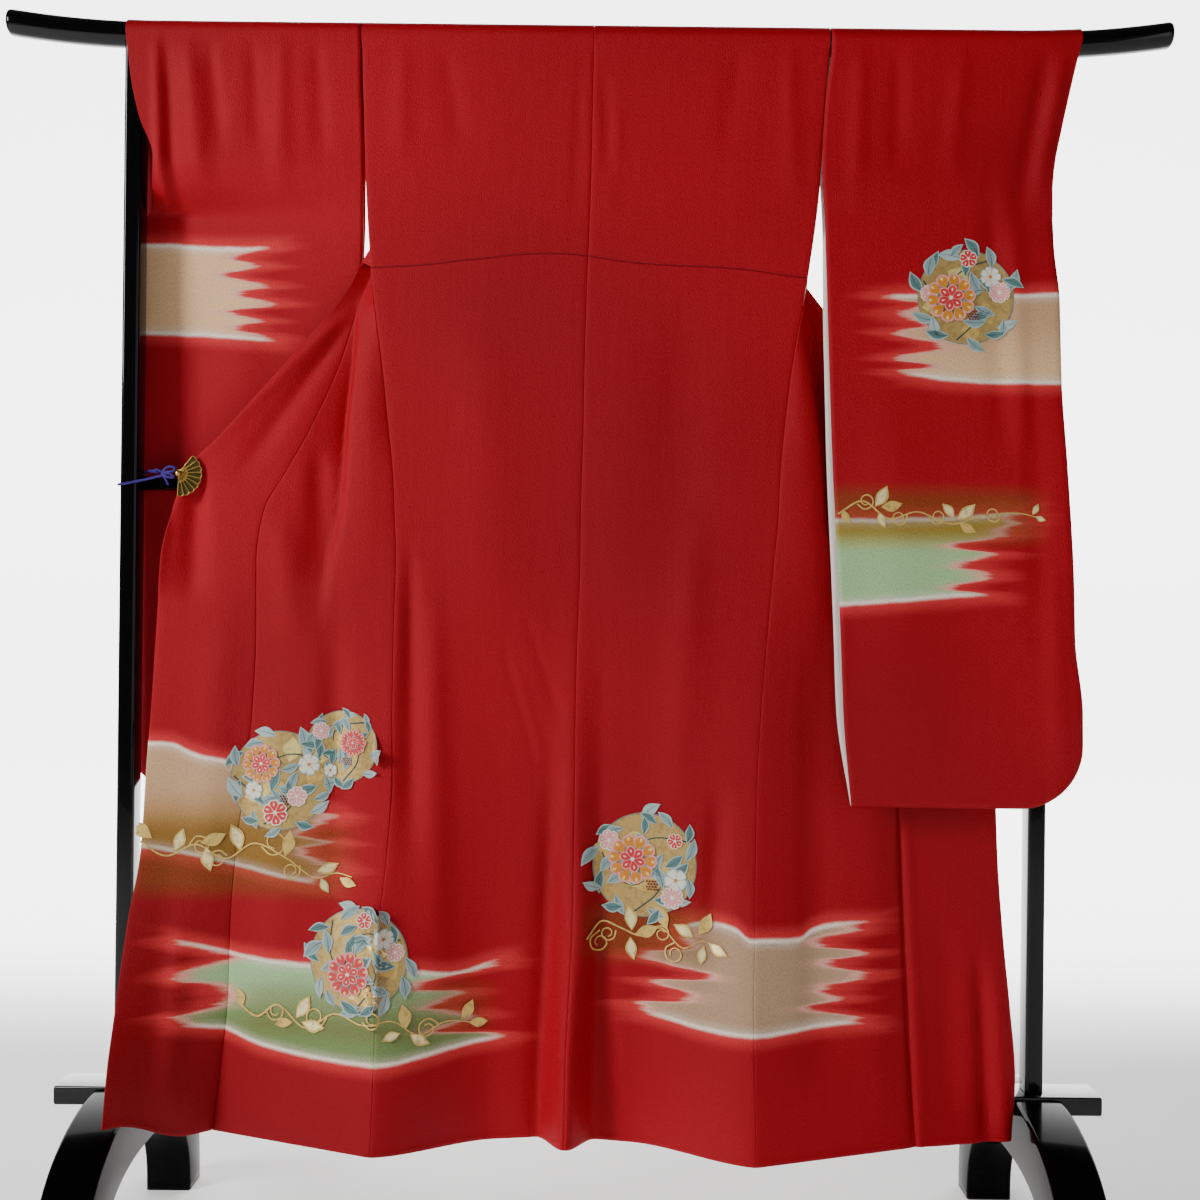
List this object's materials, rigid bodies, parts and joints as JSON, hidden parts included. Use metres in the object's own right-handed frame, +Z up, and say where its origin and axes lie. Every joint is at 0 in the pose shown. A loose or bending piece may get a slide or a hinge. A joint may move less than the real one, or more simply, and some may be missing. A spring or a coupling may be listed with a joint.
{
  "type": "furisode on kimono stand",
  "caption": "Long-sleeved silk kimono spread back outward over the top bar of a black lacquered stand, its left front edge held out by a fan clip and cord.",
  "frame": {"origin": "on the floor, midway between the stand's feet", "axes": "+Z up; +X to the right for a viewer who sees the garment's back; -Y towards that viewer; the top bar lies along X"},
  "size_m": [1.636, 0.64, 1.7469],
  "materials": {
    "red_crepe": "silk crepe, deep red with painted mist bands and flower roundels, matt with a soft sheen",
    "pale_lining": "thin plain silk lining, off-white",
    "black_lacquer": "black gloss lacquer",
    "gold_metal": "gold coloured metal with darker ribs",
    "purple_cord": "twisted silk cord, dark purple"
  },
  "bodies": {
    "root": {"back_left": "red_crepe", "back_right": "red_crepe", "front_left": "red_crepe", "front_right": "red_crepe", "okumi_left": "red_crepe", "okumi_right": "red_crepe", "collar": "red_crepe", "sleeve_left": "red_crepe", "sleeve_right": "red_crepe", "top_bar": "black_lacquer", "post_left": "black_lacquer", "post_right": "black_lacquer", "middle_rail": "black_lacquer", "lower_rail": "black_lacquer", "foot_left": "black_lacquer", "foot_right": "black_lacquer", "clip_fan": "gold_metal", "clip_jaw": "gold_metal", "clip_cord": "purple_cord"}
  },
  "joints": []
}
